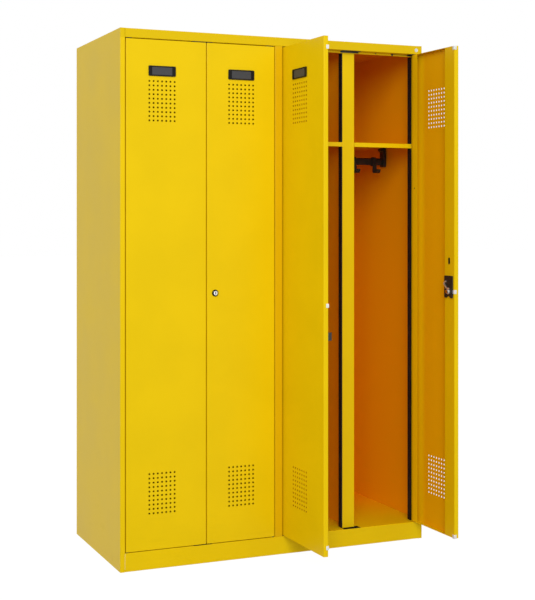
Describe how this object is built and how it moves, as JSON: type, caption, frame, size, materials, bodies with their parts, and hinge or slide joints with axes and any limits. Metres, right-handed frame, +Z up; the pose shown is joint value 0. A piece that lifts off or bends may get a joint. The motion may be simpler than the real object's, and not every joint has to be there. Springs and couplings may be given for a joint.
{
  "type": "clean and dirty clothes locker",
  "caption": "Steel changing-room locker with paired perforated doors that close on partition posts, divided compartments, hat shelves, coat rails with sliding hooks and cam locks",
  "frame": {"origin": "on the ground, under the middle of the carcass, on the underside of the floor bearer", "axes": "+X runs along the front to the viewer's right, +Y from the doors to the back, +Z up"},
  "size_m": [1.166, 0.7792, 1.8],
  "materials": {
    "yellow_paint": "smooth semi-gloss powder coat, warm traffic yellow",
    "black_plastic": "moulded black plastic with a soft sheen",
    "slate_plastic": "dark grey label holder with a blank field",
    "lock_chrome": "polished chrome plate",
    "zinc_pin": "zinc-plated steel"
  },
  "bodies": {
    "carcass": {"side_panel_left": "yellow_paint", "side_panel_right": "yellow_paint", "centre_stile": "yellow_paint", "centre_wall": "yellow_paint", "back_panel": "yellow_paint", "roof_panel": "yellow_paint", "floor_panel": "yellow_paint", "floor_bearer": "yellow_paint", "partition_post_left": "yellow_paint", "partition_left": "yellow_paint", "partition_post_right": "yellow_paint", "partition_right": "yellow_paint", "hat_shelf_1": "yellow_paint", "coat_rail_1": "black_plastic", "hat_shelf_2": "yellow_paint", "coat_rail_2": "black_plastic", "hat_shelf_3": "yellow_paint", "coat_rail_3": "black_plastic", "hat_shelf_4": "yellow_paint", "coat_rail_4": "black_plastic", "hinge_pin_1_top": "zinc_pin", "hinge_pin_1_bottom": "zinc_pin", "hinge_pin_2_top": "zinc_pin", "hinge_pin_2_bottom": "zinc_pin", "hinge_pin_3_top": "zinc_pin", "hinge_pin_3_bottom": "zinc_pin", "hinge_pin_4_top": "zinc_pin", "hinge_pin_4_bottom": "zinc_pin"},
    "door_1": {"door_1": "yellow_paint", "label_holder_1": "slate_plastic", "door_catch_1": "black_plastic"},
    "door_2": {"door_2": "yellow_paint", "label_holder_2": "slate_plastic", "lock_ring_2": "black_plastic", "lock_case_2": "black_plastic"},
    "door_3": {"door_3": "yellow_paint", "label_holder_3": "slate_plastic", "door_catch_3": "black_plastic"},
    "door_4": {"door_4": "yellow_paint", "label_holder_4": "slate_plastic", "lock_ring_4": "black_plastic", "lock_case_4": "black_plastic"},
    "lock_2": {"lock_plug_2": "lock_chrome", "lock_cam_2": "lock_chrome"},
    "lock_4": {"lock_plug_4": "lock_chrome", "lock_cam_4": "lock_chrome"},
    "coat_hook_1_1": {"coat_hook_1_1": "black_plastic"},
    "coat_hook_1_2": {"coat_hook_1_2": "black_plastic"},
    "coat_hook_1_3": {"coat_hook_1_3": "black_plastic"},
    "coat_hook_2_1": {"coat_hook_2_1": "black_plastic"},
    "coat_hook_2_2": {"coat_hook_2_2": "black_plastic"},
    "coat_hook_2_3": {"coat_hook_2_3": "black_plastic"},
    "coat_hook_3_1": {"coat_hook_3_1": "black_plastic"},
    "coat_hook_3_2": {"coat_hook_3_2": "black_plastic"},
    "coat_hook_3_3": {"coat_hook_3_3": "black_plastic"},
    "coat_hook_4_1": {"coat_hook_4_1": "black_plastic"},
    "coat_hook_4_2": {"coat_hook_4_2": "black_plastic"},
    "coat_hook_4_3": {"coat_hook_4_3": "black_plastic"}
  },
  "joints": [
    {"name": "door_1_hinge", "type": "hinge", "parent": "carcass", "child": "door_1", "pos_m": [-0.5586, -0.2456, 0.9], "axis": [0, 0, -1], "range_deg": [0, 110]},
    {"name": "door_2_hinge", "type": "hinge", "parent": "carcass", "child": "door_2", "pos_m": [-0.0214, -0.2456, 0.9], "axis": [0, 0, 1], "range_deg": [0, 91.5]},
    {"name": "door_3_hinge", "type": "hinge", "parent": "carcass", "child": "door_3", "pos_m": [0.0214, -0.2456, 0.9], "axis": [0, 0, -1], "range_deg": [-89, 2.5]},
    {"name": "door_4_hinge", "type": "hinge", "parent": "carcass", "child": "door_4", "pos_m": [0.5586, -0.2456, 0.9], "axis": [0, 0, 1], "range_deg": [-91, 19]},
    {"name": "lock_2_turn", "type": "hinge", "parent": "door_2", "child": "lock_2", "pos_m": [-0.242, -0.2456, 0.9155], "axis": [0, -1, 0], "range_deg": [0, 90]},
    {"name": "lock_4_turn", "type": "hinge", "parent": "door_4", "child": "lock_4", "pos_m": [0.56245, -0.46617, 0.9155], "axis": [0.9998, 0.0175, 0], "range_deg": [0, 90]},
    {"name": "coat_hook_1_1_slide", "type": "slide", "parent": "carcass", "child": "coat_hook_1_1", "axis": [1, 0, 0], "range_m": [-0.031, 0.031]},
    {"name": "coat_hook_1_2_slide", "type": "slide", "parent": "carcass", "child": "coat_hook_1_2", "axis": [1, 0, 0], "range_m": [-0.031, 0.031]},
    {"name": "coat_hook_1_3_slide", "type": "slide", "parent": "carcass", "child": "coat_hook_1_3", "axis": [1, 0, 0], "range_m": [-0.031, 0.021]},
    {"name": "coat_hook_2_1_slide", "type": "slide", "parent": "carcass", "child": "coat_hook_2_1", "axis": [1, 0, 0], "range_m": [-0.031, 0.031]},
    {"name": "coat_hook_2_2_slide", "type": "slide", "parent": "carcass", "child": "coat_hook_2_2", "axis": [1, 0, 0], "range_m": [-0.031, 0.031]},
    {"name": "coat_hook_2_3_slide", "type": "slide", "parent": "carcass", "child": "coat_hook_2_3", "axis": [1, 0, 0], "range_m": [-0.031, 0.021]},
    {"name": "coat_hook_3_1_slide", "type": "slide", "parent": "carcass", "child": "coat_hook_3_1", "axis": [1, 0, 0], "range_m": [-0.031, 0.031]},
    {"name": "coat_hook_3_2_slide", "type": "slide", "parent": "carcass", "child": "coat_hook_3_2", "axis": [1, 0, 0], "range_m": [-0.031, 0.031]},
    {"name": "coat_hook_3_3_slide", "type": "slide", "parent": "carcass", "child": "coat_hook_3_3", "axis": [1, 0, 0], "range_m": [-0.031, 0.021]},
    {"name": "coat_hook_4_1_slide", "type": "slide", "parent": "carcass", "child": "coat_hook_4_1", "axis": [1, 0, 0], "range_m": [-0.031, 0.031]},
    {"name": "coat_hook_4_2_slide", "type": "slide", "parent": "carcass", "child": "coat_hook_4_2", "axis": [1, 0, 0], "range_m": [-0.031, 0.031]},
    {"name": "coat_hook_4_3_slide", "type": "slide", "parent": "carcass", "child": "coat_hook_4_3", "axis": [1, 0, 0], "range_m": [-0.031, 0.021]}
  ]
}
